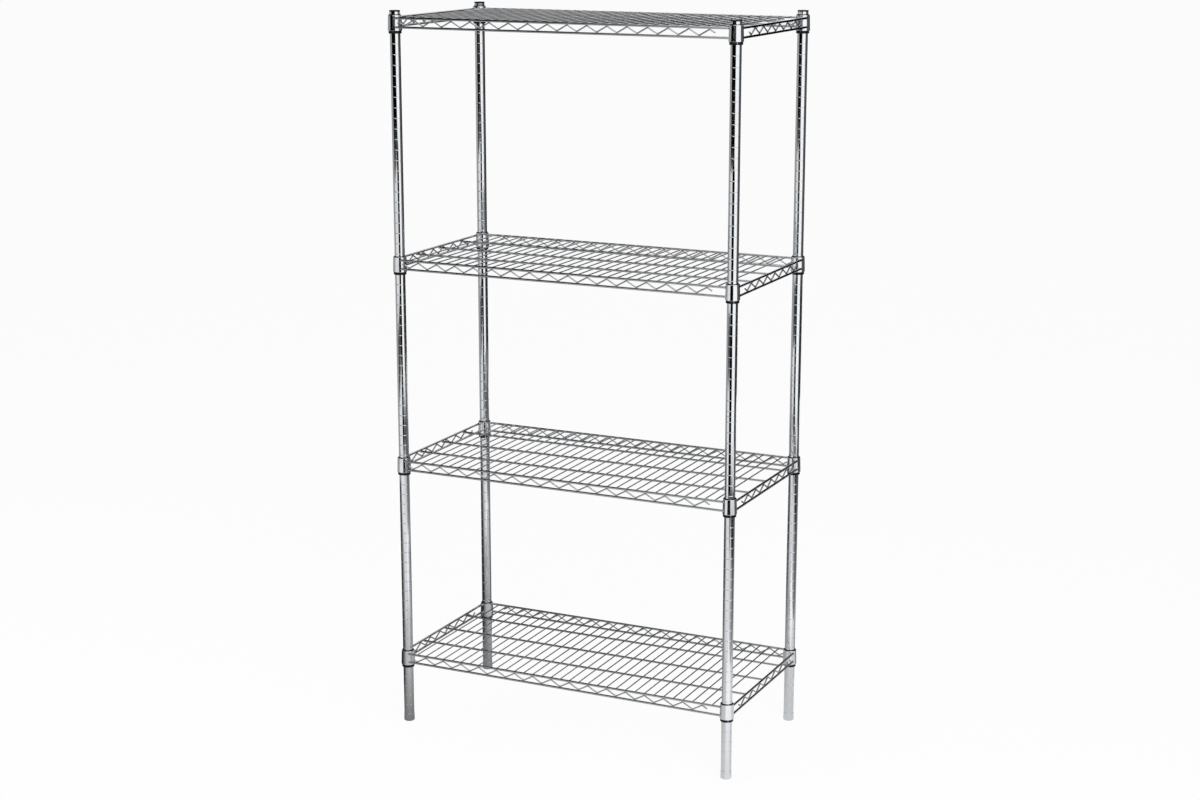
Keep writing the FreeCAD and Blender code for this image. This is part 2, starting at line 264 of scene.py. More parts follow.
def turned_tree():
    """Turns an outline about the vertical, stacks the stretch that repeats, and sets it on each place."""
    tree, given = geometry_tree("Turned piece", sides=48, repeats=1, spacing=0.0254)
    role = add_node(tree, "GeometryNodeInputNamedAttribute", {"Name": "role"}, data_type="INT")
    splits, rest = [], given["Geometry"]
    for use in (PLACE, REPEATED):
        # Inputs 2 and 3 are the whole numbers that are compared.
        test = {2: role["Attribute"], 3: use}
        chosen = add_node(tree, "FunctionNodeCompare", test, data_type="INT", operation="EQUAL")
        parts = {"Geometry": rest, "Selection": chosen["Result"]}
        splits.append(add_node(tree, "GeometryNodeSeparateGeometry", parts))
        rest = splits[-1]["Inverted"]
    places, outlines = splits
    ring = {"Resolution": given["Sides"], "Radius": TURNING_RADIUS}
    circle = add_node(tree, "GeometryNodeCurvePrimitiveCircle", ring)["Curve"]
    turned = []
    for part in ("Inverted", "Selection"):
        line = add_node(tree, "GeometryNodeMeshToCurve", {"Mesh": outlines[part]})["Curve"]
        swept = add_node(tree, "GeometryNodeCurveToMesh", {"Curve": circle, "Profile Curve": line})
        turned.append(swept["Mesh"])
    step = add_node(tree, "ShaderNodeCombineXYZ", {"Z": given["Spacing"]})["Vector"]
    steps = add_node(tree, "GeometryNodeMeshLine", {"Count": given["Repeats"], "Offset": step})["Mesh"]
    stack = add_node(tree, "GeometryNodeInstanceOnPoints", {"Points": steps, "Instance": turned[1]})
    both = [turned[0], stack["Instances"]]
    whole = add_node(tree, "GeometryNodeJoinGeometry", {"Geometry": both})["Geometry"]
    joined = add_node(tree, "GeometryNodeRealizeInstances", {"Geometry": whole})["Geometry"]
    near = {"Geometry": joined, "Distance": RING_MERGE}
    sealed = add_node(tree, "GeometryNodeMergeByDistance", near)["Geometry"]
    set_out = {"Points": places["Selection"], "Instance": sealed}
    copies = add_node(tree, "GeometryNodeInstanceOnPoints", set_out)
    return close_tree(tree, given, copies["Instances"])


def wire_tree():
    """Bends round wires along the paths of a mesh, and repeats them at an even spacing."""
    tree, given = geometry_tree(
        "Bent wire", wire_diameter=0.003, bend_radius=0.004, sides=16, copies=1, spacing=(0.0, 0.0, 0.0)
    )
    path = add_node(tree, "GeometryNodeMeshToCurve", {"Mesh": given["Geometry"]})["Curve"]
    bend = {"Curve": path, "Count": 6, "Radius": given["Bend Radius"], "Limit Radius": True}
    bent = add_node(tree, "GeometryNodeFilletCurve", bend, mode="POLY")["Curve"]
    radius = add_node(tree, "ShaderNodeMath", {0: given["Wire Diameter"], 1: 2.0}, operation="DIVIDE")
    ring = {"Resolution": given["Sides"], "Radius": radius["Value"]}
    section = add_node(tree, "GeometryNodeCurvePrimitiveCircle", ring)["Curve"]
    swept = {"Curve": bent, "Profile Curve": section, "Fill Caps": True}
    wire = add_node(tree, "GeometryNodeCurveToMesh", swept)["Mesh"]
    row = {"Count": given["Copies"], "Offset": given["Spacing"]}
    steps = add_node(tree, "GeometryNodeMeshLine", row)["Mesh"]
    copies = add_node(tree, "GeometryNodeInstanceOnPoints", {"Points": steps, "Instance": wire})
    return close_tree(tree, given, copies["Instances"])


def weld_tree():
    """Sets a small lump of squeezed-out metal on every weld, no two quite the same size."""
    tree, given = geometry_tree("Welds", variation=0.14, seed=4)
    spread = add_node(tree, "GeometryNodeInputNamedAttribute", {"Name": "spread"}, data_type="FLOAT_VECTOR")
    ends = {0: 1.0, 1: given["Variation"]}
    least = add_node(tree, "ShaderNodeMath", ends, operation="SUBTRACT")["Value"]
    most = add_node(tree, "ShaderNodeMath", ends, operation="ADD")["Value"]
    # Inputs 2 and 3 and output 1 are the plain numbers of a node that can also draw vectors.
    limits = {2: least, 3: most, "Seed": given["Seed"]}
    chance = add_node(tree, "FunctionNodeRandomValue", limits, data_type="FLOAT")[1]
    scaled = {0: spread["Attribute"], "Scale": chance}
    size = add_node(tree, "ShaderNodeVectorMath", scaled, operation="SCALE")["Vector"]
    ball = {"Segments": 8, "Rings": 5, "Radius": 1.0}
    lump = add_node(tree, "GeometryNodeMeshUVSphere", ball)["Mesh"]
    set_out = {"Points": given["Geometry"], "Instance": lump, "Scale": size}
    lumps = add_node(tree, "GeometryNodeInstanceOnPoints", set_out)
    return close_tree(tree, given, lumps["Instances"])


def thread_tree():
    """Winds the ridge of a screw thread, whose section is the given mesh, about the vertical."""
    tree, given = geometry_tree(
        "Screw thread", turns=20.0, radius=0.004, height=0.03, place=(0.0, 0.0, 0.0)
    )
    section = add_node(tree, "GeometryNodeMeshToCurve", {"Mesh": given["Geometry"]})["Curve"]
    coil = {"Rotations": given["Turns"], "Start Radius": given["Radius"], "End Radius": given["Radius"]}
    coil |= {"Resolution": 24, "Height": given["Height"]}
    helix = add_node(tree, "GeometryNodeCurveSpiral", coil)["Curve"]
    upright = add_node(tree, "GeometryNodeSetCurveNormal", {"Curve": helix}, mode="Z_UP")["Curve"]
    swept = {"Curve": upright, "Profile Curve": section, "Fill Caps": True}
    ridge = add_node(tree, "GeometryNodeCurveToMesh", swept)["Mesh"]
    placed = add_node(tree, "GeometryNodeTransform", {"Geometry": ridge, "Translation": given["Place"]})
    return close_tree(tree, given, placed["Geometry"])


def put(name, data):
    """A new object in the scene, at the origin."""
    made = bpy.data.objects.new(name, data)
    bpy.context.scene.collection.objects.link(made)
    return made


def tree_named(name, make):
    """The tree of that name, made the first time that it is asked for."""
    return bpy.data.node_groups.get(name) or make()


def line_mesh(name, lines):
    """A mesh of open and closed lines: (points, closed) each."""
    points, edges = [], []
    for line, closed in lines:
        start = len(points)
        points += [tuple(p) for p in line]
        edges += [(i, i + 1) for i in range(start, len(points) - 1)]
        if closed:
            edges.append((len(points) - 1, start))
    mesh = bpy.data.meshes.new(name)
    mesh.from_pydata(points, edges, [])
    return mesh


def grow(name, mesh, tree, **values):
    """Runs a geometry node tree on a mesh and returns an object with the plain mesh that it makes."""
    piece = put(name, mesh)
    modifier = piece.modifiers.new("Build", "NODES")
    modifier.node_group = tree
    sockets = [item for item in tree.interface.items_tree if item.item_type == "SOCKET"]
    inputs = {socket.name: socket.identifier for socket in sockets if socket.in_out == "INPUT"}
    for word, value in values.items():
        modifier[inputs[input_name(word)]] = value
    graph = bpy.context.evaluated_depsgraph_get()
    plain = bpy.data.meshes.new_from_object(piece.evaluated_get(graph), depsgraph=graph)
    piece.modifiers.remove(modifier)
    piece.data = plain
    plain.name = name
    bpy.data.meshes.remove(mesh)
    if not plain.polygons:
        raise RuntimeError(f"{name} came out empty")
    return piece


def smooth(piece, crease=40.0):
    """Smooth shading, with edges sharper than the crease angle kept crisp."""
    piece.data.shade_smooth()
    piece.data.set_sharp_from_angle(angle=math.radians(crease))


def outwards(piece):
    """Merges doubled points and turns every face of a closed shell outwards."""
    shell = bmesh.new()
    shell.from_mesh(piece.data)
    bmesh.ops.remove_doubles(shell, verts=shell.verts, dist=SHELL_MERGE)
    bmesh.ops.recalc_face_normals(shell, faces=shell.faces)
    shell.to_mesh(piece.data)
    shell.free()


def join(piece, *others):
    """Adds the meshes of other objects to a piece and removes them."""
    whole = bmesh.new()
    for each in (piece, *others):
        whole.from_mesh(each.data)
    whole.to_mesh(piece.data)
    whole.free()
    for each in others:
        bpy.data.meshes.remove(each.data)


def rounded(outline, steps=6, hold=0.0002):
    """The points of an outline whose corners are (radius, height) or (radius, height, rounding).

    A held point on each side of a rounding keeps the shading of the flats beside it flat.
    """
    points = []
    for index, corner in enumerate(outline):
        here = Vector(corner[:2])
        if len(corner) < 3:
            points.append(here)
            continue
        back = (Vector(outline[index - 1][:2]) - here).normalized()
        onward = (Vector(outline[(index + 1) % len(outline)][:2]) - here).normalized()
        half = back.angle(onward) / 2
        run = corner[2] / math.tan(half)
        middle = here + (back + onward).normalized() * (corner[2] / math.sin(half))
        first, last = here + back * run - middle, here + onward * run - middle
        sweep = first.angle_signed(last)
        points.append(middle + first + back * hold)
        for step in range(steps + 1):
            spoke = first.copy()
            spoke.rotate(Matrix.Rotation(-sweep * step / steps, 2))
            points.append(middle + spoke)
        points.append(middle + last + onward * hold)
    return points


def turned_piece(name, shell, places, finish, repeated=(), closed=True, **sizes):
    """Turns an outline of (radius, height) points about each place and returns the piece."""
    lines = [([(r - TURNING_RADIUS, -z, 0.0) for r, z in shell], closed)]
    roles = [SHELL] * len(shell)
    if repeated:
        lines.append(([(r - TURNING_RADIUS, -z, 0.0) for r, z in repeated], False))
        roles += [REPEATED] * len(repeated)
    for place in places:
        lines.append(([place], False))
        roles.append(PLACE)
    mesh = line_mesh(name, lines)
    mesh.attributes.new("role", "INT", "POINT").data.foreach_set("value", roles)
    piece = grow(name, mesh, tree_named("Turned piece", turned_tree), material=finish, **sizes)
    outwards(piece)
    smooth(piece)
    return piece


def dress(piece, body, slot, *nodes):
    """Lets a finished piece move with its body and stand for its CAD nodes."""
    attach(piece, body)
    if nodes:
        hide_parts(*nodes)


def paint(node, finish):
    """Gives a CAD node that stays in view its finish."""
    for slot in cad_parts[node].material_slots:
        slot.material = finish


@functools.cache
def node_box(node):
    """The lowest and highest corners of a CAD node, measured once because they stay the same."""
    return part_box(node)


def post_place(corner, height=0.0):
    """A point on the axis of a post."""
    low, high = node_box(f"lower_post_{corner}")
    return Vector(((low.x + high.x) / 2, (low.y + high.y) / 2, height))


def shelf_layout(context, shelf):
    """Where a shelf's wires run, read from its CAD nodes: centre lines, in metres."""
    wires = context.scene.shelving_wires
    rail, zigzag = wires.rail_diameter / 2, wires.zigzag_diameter / 2
    deck, rod = wires.deck_diameter / 2, wires.rod_diameter / 2
    kinds = "collars long_rails end_rails long_zigzags end_zigzags deck_wires support_rods".split()
    low, high = ({kind: node_box(f"{shelf}_shelf_{kind}")[side] for kind in kinds} for side in (0, 1))
    deck_x = high["deck_wires"].x - deck
    rods_y = high["support_rods"].y - rod
    end_run = high["end_zigzags"].y - low["end_zigzags"].y
    return SimpleNamespace(
        collar_bottom=low["collars"].z,
        collar_top=high["collars"].z,
        collar_radius=high["collars"].x - post_place("front_right").x,
        rail_x=high["end_rails"].x - rail,
        rail_y=high["long_rails"].y - rail,
        rail_heights=(low["long_rails"].z + rail, high["long_rails"].z - rail),
        zigzag_low=low["long_zigzags"].z + zigzag,
        zigzag_high=high["long_zigzags"].z - zigzag,
        end_bends=round(end_run / wires.deck_pitch),
        deck_count=round(2 * deck_x / wires.deck_pitch) + 1,
        deck_x=deck_x,
        deck_y=high["deck_wires"].y,
        deck_z=high["deck_wires"].z - deck,
        rods_x=high["support_rods"].x,
        rods_y=(-rods_y, 0.0, rods_y),
        rods_z=high["support_rods"].z - rod,
    )


def material(name):
    """Makes a surface's recipe a function that gives the material of that name, made when first needed."""

    def named(recipe):
        @functools.wraps(recipe)
        def find_or_make():
            made = bpy.data.materials.get(name)
            if made is None:
                made = bpy.data.materials.new(name)
                made.use_nodes = True
                made.node_tree.nodes.clear()
                surface = recipe(made.node_tree)
                add_node(made.node_tree, "ShaderNodeOutputMaterial", {"Surface": surface})
            return made

        return find_or_make

    return named


def noise(tree, place, size, detail, roughness=0.5):
    """A soft pattern whose patches are about this size across."""
    soft = {"Vector": place, "Scale": 1 / size, "Detail": detail, "Roughness": roughness}
    return add_node(tree, "ShaderNodeTexNoise", soft)["Fac"]


def tinted(tree, pattern, tints):
    """A colour that goes from one tint to the other as a pattern rises."""
    mixed = {"Factor": pattern, "A": tints[0], "B": tints[1]}
    return add_node(tree, "ShaderNodeMix", mixed, data_type="RGBA")["Result"]


def stretched(tree, pattern, span, limits):
    """A pattern whose span of values is stretched to other limits."""
    ends = {"From Min": span[0], "From Max": span[1], "To Min": limits[0], "To Max": limits[1]}
    return add_node(tree, "ShaderNodeMapRange", {"Value": pattern, **ends})["Result"]


def embossed(tree, pattern, strength, distance):
    """The normal of a surface with a pattern raised in relief."""
    raised = {"Height": pattern, "Strength": strength, "Distance": distance}
    return add_node(tree, "ShaderNodeBump", raised)["Normal"]


def plate(tree, tints, patches, marks, gloss, relief, span=(0.35, 0.7)):
    """A plated surface. Its tint and gloss follow a pattern of patches, and marks stand out in relief."""
    looks = {
        "Base Color": tinted(tree, patches, tints),
        "Metallic": 1.0,
        "Roughness": stretched(tree, patches, span, gloss),
        "Normal": embossed(tree, marks, *relief),
    }
    return add_node(tree, "ShaderNodeBsdfPrincipled", looks)["BSDF"]


@material("Chrome plated drawn steel tube")
def chrome_on_tube(tree):
    """Bright chrome on drawn, polished tube. It mirrors the room, and fine lines along it fray streaks."""
    colours = bpy.context.scene.shelving_finishes
    place = add_node(tree, "ShaderNodeTexCoord")["Object"]
    # Lines left by drawing the tube, made coarser than the real ones so that they show.
    spacing, run = 0.0012, 0.09
    drawn = {"Vector": place, "Scale": (1 / spacing, 1 / spacing, 1 / run)}
    lengthwise = add_node(tree, "ShaderNodeMapping", drawn)["Vector"]
    lines = noise(tree, lengthwise, size=1.0, detail=3.0, roughness=0.6)
    # Handling haze in patches about 70 mm across.
    haze = noise(tree, place, size=0.07, detail=4.0)
    tints = (colours.chrome, colours.chrome_haze)
    return plate(tree, tints, haze, lines, gloss=(0.045, 0.11), relief=(0.08, 0.0002))


@material("Chrome plated steel wire")
def chrome_on_wire(tree):
    """Bright chrome on drawn wire, plated after welding. A mirror with the soft ripple of drawn wire, tinted
    darker than the posts' chrome: painted shade that darkens the thin wires.
    """
    colours = bpy.context.scene.shelving_finishes
    place = add_node(tree, "ShaderNodeTexCoord")["Object"]
    # Ripple about 5 mm across, and haze in patches of about 45 mm.
    ripple = noise(tree, place, size=0.005, detail=2.0)
    haze = noise(tree, place, size=0.045, detail=3.0)
    tints = (colours.wire, colours.wire_haze)
    return plate(tree, tints, haze, ripple, gloss=(0.06, 0.16), relief=(0.1, 0.0003))


@material("Chrome plated rolled steel")
def chrome_on_collar(tree):
    """Bright chrome on rolled and polished collars and cups. Fine polishing lines run around them."""
    colours = bpy.context.scene.shelving_finishes
    place = add_node(tree, "ShaderNodeTexCoord")["Object"]
    # Polishing lines, made coarser than the real ones so that they show.
    spacing, run = 0.0008, 0.03
    polished = {"Vector": place, "Scale": (1 / run, 1 / run, 1 / spacing)}
    around = add_node(tree, "ShaderNodeMapping", polished)["Vector"]
    lines = noise(tree, around, size=1.0, detail=2.0)
    # Haze in patches about 20 mm across.
    haze = noise(tree, place, size=0.02, detail=3.0)
    tints = (colours.chrome, colours.chrome_haze)
    return plate(tree, tints, haze, lines, gloss=(0.06, 0.14), relief=(0.06, 0.0002))


@material("Chrome plated weld")
def plated_weld(tree):
    """Chrome plate over a weld. It can't level the pitted metal, so it is duller and greyer than the wire."""
    colours = bpy.context.scene.shelving_finishes
    place = add_node(tree, "ShaderNodeTexCoord")["Object"]
    # Pits and spatter about 0.8 mm across.
    pits = noise(tree, place, size=0.0008, detail=3.0)
    tints = (colours.weld, colours.wire_haze)
    return plate(tree, tints, pits, pits, gloss=(0.2, 0.42), relief=(0.35, 0.0003), span=(0.3, 0.7))


@material("Moulded black nylon")
def moulded_black_plastic(tree):
    """Black nylon, moulded in a spark-eroded tool. Satin, with a fine grain and a faint grey bloom."""
    colours = bpy.context.scene.shelving_finishes
    place = add_node(tree, "ShaderNodeTexCoord")["Object"]
    # Tool grain about 0.5 mm across, and bloom in patches of about 8 mm.
    grain = noise(tree, place, size=0.0005, detail=2.0)
    bloom = noise(tree, place, size=0.008, detail=3.0)
    faint = stretched(tree, bloom, span=(0.45, 0.75), limits=(0.0, 1.0))
    looks = {
        "Base Color": tinted(tree, faint, (colours.plastic, colours.plastic_worn)),
        "IOR": 1.53,
        "Specular IOR Level": 0.2,
        "Roughness": stretched(tree, bloom, span=(0.3, 0.7), limits=(0.42, 0.56)),
        "Normal": embossed(tree, grain, strength=0.15, distance=0.0001),
    }
    return add_node(tree, "ShaderNodeBsdfPrincipled", looks)["BSDF"]


@material("Zinc plated steel")
def zinc_plate(tree):
    """Zinc plated steel screws and inserts. A cool grey with a soft gloss and a fine crystal bloom."""
    colours = bpy.context.scene.shelving_finishes
    place = add_node(tree, "ShaderNodeTexCoord")["Object"]
    # Crystals about 1.5 mm across.
    crystals = add_node(tree, "ShaderNodeTexVoronoi", {"Vector": place, "Scale": 1 / 0.0015})["Distance"]
    looks = {
        "Base Color": tinted(tree, crystals, (colours.zinc, colours.zinc_dark)),
        "Metallic": 1.0,
        "Roughness": stretched(tree, crystals, span=(0.0, 1.0), limits=(0.28, 0.42)),
    }
    return add_node(tree, "ShaderNodeBsdfPrincipled", looks)["BSDF"]


def groove_outline(sizes, reach_up, reach_down):
    """One stretch of a post's outside, from above a groove to below it. The groove is at height 0."""
    radius, soft = sizes.tube_diameter / 2, sizes.shoulder
    edge = sizes.groove_width / 2 + soft
    points = [(radius, reach_up), (radius, edge + soft)]
    for step in range(GROOVE_STEPS + 1):
        height = edge - 2 * edge * step / GROOVE_STEPS
        depth = sizes.groove_depth * (1 + math.cos(math.pi * height / edge)) / 2
        points.append((radius - depth, height))
    return [*points, (radius, -edge - soft), (radius, -reach_down)]


def half_post(context, half, corner):
    """One half of a post, a tube with a groove rolled around it at every pitch."""
    sizes = context.scene.shelving_posts
    node = f"{half}_post_{corner}"
    low, high = node_box(node)
    pitch, radius = sizes.groove_pitch, sizes.tube_diameter / 2
    bore = radius - sizes.tube_wall
    to_joint, to_end = pitch / 2 - sizes.joint_lip, pitch / 2 + sizes.joint_lip
    # The lower half's first groove is a whole pitch up, and the upper half's half a pitch above the joint.
    if half == "lower":
        first, up, down = low.z + pitch, to_joint, to_end
        low_cut, high_cut = sizes.end_chamfer, sizes.joint_chamfer
    else:
        first, up, down = low.z + pitch / 2, to_end, to_joint
        low_cut, high_cut = sizes.joint_chamfer, sizes.end_chamfer
    grooves = math.floor((high.z - low.z) / pitch)
    last = first + pitch * (grooves - 1)
    stretch = [(r, z + first) for r, z in groove_outline(sizes, up, down)]
    shell = [
        (radius, first - down),
        (radius, low.z + low_cut * HOLD),
        (radius, low.z + low_cut),
        (radius - low_cut, low.z),
        (bore, low.z),
        (bore, high.z),
        (radius - high_cut, high.z),
        (radius, high.z - high_cut),
        (radius, high.z - high_cut * HOLD),
        (radius, last + up),
    ]
    rolled = {"closed": False, "sides": sizes.sides, "repeats": grooves, "spacing": pitch}
    return turned_piece(f"{node}_tube", shell, [post_place(corner)], chrome_on_tube(), stretch, **rolled)


class SHELVING_OT_posts(bpy.types.Operator):
    """Builds the lower and upper halves of the four grooved posts"""

    bl_idname = "shelving.posts"
    bl_label = "Grooved Posts"

    def execute(self, context):
        for half in ("lower", "upper"):
            for corner in CORNERS:
                dress(half_post(context, half, corner), "post_frame", "chrome_plate", f"{half}_post_{corner}")
        return {"FINISHED"}


class SHELVING_OT_caps(bpy.types.Operator):
    """Builds the moulded caps on the posts"""

    bl_idname = "shelving.caps"
    bl_label = "Post Caps"

    def execute(self, context):
        sizes, tube = context.scene.shelving_fittings, context.scene.shelving_posts
        plastic = moulded_black_plastic()
        plug = tube.tube_diameter / 2 - tube.tube_wall - sizes.cap_play
        for corner in CORNERS:
            node = f"post_cap_{corner}"
            low, high = node_box(node)
            rim, top = (high.x - low.x) / 2, high.z
            bottom, sunk = top - sizes.cap_rim, top - sizes.gate_depth
            outline = [
                (0.0, sunk),
                (sizes.gate_radius, sunk, BROKEN_EDGE),
                (sizes.gate_radius + sizes.gate_slope, top, BROKEN_EDGE),
                (rim, top, sizes.cap_round),
                (rim, bottom, BROKEN_EDGE),
                (plug, bottom),
                (plug, low.z, sizes.plug_round),
                (0.0, low.z),
            ]
            shell = rounded(outline)
            piece = turned_piece(f"{node}_moulding", shell, [post_place(corner)], plastic, closed=False)
            dress(piece, "post_frame", "black_plastic", node)
        return {"FINISHED"}


class SHELVING_OT_collars(bpy.types.Operator):
    """Builds the tapered collars at the corners of the shelves"""

    bl_idname = "shelving.collars"
    bl_label = "Corner Collars"

    def execute(self, context):
        sizes = context.scene.shelving_fittings
        chrome = chrome_on_collar()
        places = [post_place(corner) for corner in CORNERS]
        for shelf in SHELVES:
            node = f"{shelf}_shelf_collars"
            plan = shelf_layout(context, shelf)
            bottom, top, radius = plan.collar_bottom, plan.collar_top, plan.collar_radius
            outline = [
                (sizes.collar_top_bore, top, FINE_EDGE),
                (radius - sizes.collar_taper, top, sizes.collar_top_round),
                (radius, bottom, sizes.collar_bottom_round),
                (sizes.collar_bottom_bore, bottom, BROKEN_EDGE),
            ]
            piece = turned_piece(f"{node}_rolled", rounded(outline), places, chrome, sides=sizes.collar_sides)
            dress(piece, f"{shelf}_shelf", "chrome_plate", node)
        return {"FINISHED"}


def collar_radius(context, plan, height):
    """The outside radius of a shelf's collars at a height."""
    rise = (height - plan.collar_bottom) / (plan.collar_top - plan.collar_bottom)
    return plan.collar_radius - context.scene.shelving_fittings.collar_taper * rise


def coped_rail(context, shell, plan, post, along, lane, height):
    """Adds a rail along X (0) or Y (1) to a bmesh, its ends shaped to sit just inside the collars."""
    wires = context.scene.shelving_wires
    radius, sides, across = wires.rail_diameter / 2, wires.rail_sides, 1 - along
    rings = ([], [])
    for step in range(sides):
        turn = 2 * math.pi * step / sides
        side, level = lane + radius * math.cos(turn), height + radius * math.sin(turn)
        reach = collar_radius(context, plan, level) - wires.sink
        end = post[along] - math.sqrt(reach**2 - (abs(side) - post[across]) ** 2)
        for ring, sign in zip(rings, (-1, 1)):
            point = Vector((0, 0, level))
            point[along], point[across] = sign * end, side
            ring.append(shell.verts.new(point))
    for step in range(sides):
        after = (step + 1) % sides
        shell.faces.new((rings[0][step], rings[0][after], rings[1][after], rings[1][step]))
    for ring in rings:
        shell.faces.new(ring)


class SHELVING_OT_rails(bpy.types.Operator):
    """Builds the rails around the shelves, shaped at their ends to the collars"""

    bl_idname = "shelving.rails"
    bl_label = "Shelf Rails"

    def execute(self, context):
        chrome = chrome_on_wire()
        post = [abs(part) for part in post_place("front_right")]
        for shelf in SHELVES:
            plan = shelf_layout(context, shelf)
            runs = {"long_rails": (0, plan.rail_y), "end_rails": (1, plan.rail_x)}
            for kind, (along, lane) in runs.items():
                shell = bmesh.new()
                for side in (-1, 1):
                    for height in plan.rail_heights:
                        coped_rail(context, shell, plan, post, along, side * lane, height)
                bmesh.ops.recalc_face_normals(shell, faces=shell.faces)
                node = f"{shelf}_shelf_{kind}"
                mesh = bpy.data.meshes.new(f"{node}_wire")
                shell.to_mesh(mesh)
                shell.free()
                mesh.materials.append(chrome)
                piece = put(f"{node}_wire", mesh)
                smooth(piece)
                dress(piece, f"{shelf}_shelf", "chrome_plate", node)
        return {"FINISHED"}


def wire_piece(shelf, kind, lines, **sizes):
    """Bends the wires of one kind of a shelf along lines, and dresses them."""
    node = f"{shelf}_shelf_{kind}"
    mesh = line_mesh(node, [(line, False) for line in lines])
    tree = tree_named("Bent wire", wire_tree)
    piece = grow(f"{node}_wire", mesh, tree, material=chrome_on_wire(), **sizes)
    smooth(piece)
    dress(piece, f"{shelf}_shelf", "chrome_plate", node)


def zigzag_path(wires, plan, first, bends):
    """(distance, height) corners of a zigzag wire. Its first bend is low, and its cut ends are halfway up."""
    pitch, bend = wires.deck_pitch, wires.zigzag_bend
    rise = plan.zigzag_high - plan.zigzag_low
    middle = (plan.zigzag_high + plan.zigzag_low) / 2
    centres = rise - 2 * bend
    slope = math.atan2(centres, pitch) + math.asin(2 * bend / math.hypot(pitch, centres))
    tip = centres / 2 + bend / math.cos(slope)
    corners = [(first + n * pitch, middle + (tip if n % 2 else -tip)) for n in range(bends)]
    return [(first - pitch / 2, middle), *corners, (first + (bends - 0.5) * pitch, middle)]


def zigzag_layout(wires, plan):
    """The first bend and the number of bends of a long zigzag and of an end zigzag."""
    return {
        "long": (-plan.deck_x, plan.deck_count - 1),
        "end": (-(plan.end_bends - 1) * wires.deck_pitch / 2, plan.end_bends),
    }


class SHELVING_OT_zigzags(bpy.types.Operator):
    """Bends the zigzag wires between the rails"""

    bl_idname = "shelving.zigzags"
    bl_label = "Zigzag Wires"

    def execute(self, context):
        wires = context.scene.shelving_wires
        bent = {
            "wire_diameter": wires.zigzag_diameter,
            "bend_radius": wires.zigzag_bend,
            "sides": wires.zigzag_sides,
        }
        for shelf in SHELVES:
            plan = shelf_layout(context, shelf)
            layout = zigzag_layout(wires, plan).items()
            runs = {kind: zigzag_path(wires, plan, *bends) for kind, bends in layout}
            # The back zigzag is the front one turned half round.
            long_lines = [[(s * x, -s * plan.rail_y, z) for x, z in runs["long"]] for s in (1, -1)]
            end_lines = [[(s * plan.rail_x, y, z) for y, z in runs["end"]] for s in (-1, 1)]
            wire_piece(shelf, "long_zigzags", long_lines, **bent)
            wire_piece(shelf, "end_zigzags", end_lines, **bent)
        return {"FINISHED"}


class SHELVING_OT_decks(bpy.types.Operator):
    """Lays the deck wires and the support rods under them"""

    bl_idname = "shelving.decks"
    bl_label = "Deck Wires and Rods"

    def execute(self, context):
        wires = context.scene.shelving_wires
        for shelf in SHELVES:
            plan = shelf_layout(context, shelf)
            deck_line = [(-plan.deck_x, y, plan.deck_z) for y in (-plan.deck_y, plan.deck_y)]
            rod_line = [(x, plan.rods_y[0], plan.rods_z) for x in (-plan.rods_x, plan.rods_x)]
            runs = {
                "deck_wires": (deck_line, wires.deck_diameter, plan.deck_count, (wires.deck_pitch, 0.0, 0.0)),
                "support_rods": (rod_line, wires.rod_diameter, len(plan.rods_y), (0.0, plan.rods_y[2], 0.0)),
            }
            for kind, (line, diameter, copies, spacing) in runs.items():
                row = {"sides": wires.sides, "copies": copies, "spacing": spacing}
                wire_piece(shelf, kind, [line], wire_diameter=diameter, **row)
        return {"FINISHED"}


def crossed(size):
    """The half sizes of a weld on a long rail, turned for an end rail."""
    return (size[1], size[0], size[2])


def weld_points(context, shelf):
    """(place, half sizes) of every weld of a shelf."""
    wires = context.scene.shelving_wires
    plan = shelf_layout(context, shelf)
    post = [abs(part) for part in post_place("front_right")]
    rail, zigzag = wires.rail_diameter / 2, wires.zigzag_diameter / 2
    deck, rod = wires.deck_diameter / 2, wires.rod_diameter / 2
    flat, bead = wires.weld_height, wires.bead_width
    # The metal spreads to these shares of the radii of the wires that meet.
    deck_end, rod_end = (deck * 1.25, flat, deck * 0.9), (flat, rod * 1.1, rod * 0.8)
    crossing, bend = (deck * 1.2, rod * 0.75, flat), (rail * 0.8, zigzag * 1.15, flat)
    long_bead = (bead * 1.2, bead * 0.96, bead)
    # A wire that ends on a rail has its weld just inside the rail's surface, off the wire's middle.
    inside, off_deck, off_rod = rail * 0.85, deck * 0.4, rod * 0.4
    contact = plan.deck_z - deck + wires.sink / 2
    points = []
    for number in range(plan.deck_count):
        x = number * wires.deck_pitch - plan.deck_x
        for side in (-1, 1):
            points.append(((x, side * (plan.rail_y - inside), plan.deck_z - off_deck), deck_end))
        points += [((x, y, contact), crossing) for y in plan.rods_y]
    for side in (-1, 1):
        for kind, (first, bends) in zigzag_layout(wires, plan).items():
            for number in range(bends):
                reach = first + number * wires.deck_pitch
                height = plan.zigzag_high + zigzag if number % 2 else plan.zigzag_low - zigzag
                if kind == "long":
                    points.append(((side * reach, -side * plan.rail_y, height), bend))
                else:
                    points.append(((side * plan.rail_x, reach, height), crossed(bend)))
        points += [((side * (plan.rail_x - inside), y, plan.rods_z + off_rod), rod_end) for y in plan.rods_y]
    for height in plan.rail_heights:
        run = math.sqrt(collar_radius(context, plan, height) ** 2 - (plan.rail_x - post[0]) ** 2)
        for sx in (-1, 1):
            for sy in (-1, 1):
                points.append(((sx * (post[0] - run), sy * plan.rail_y, height), long_bead))
                points.append(((sx * plan.rail_x, sy * (post[1] - run), height), crossed(long_bead)))
    return points


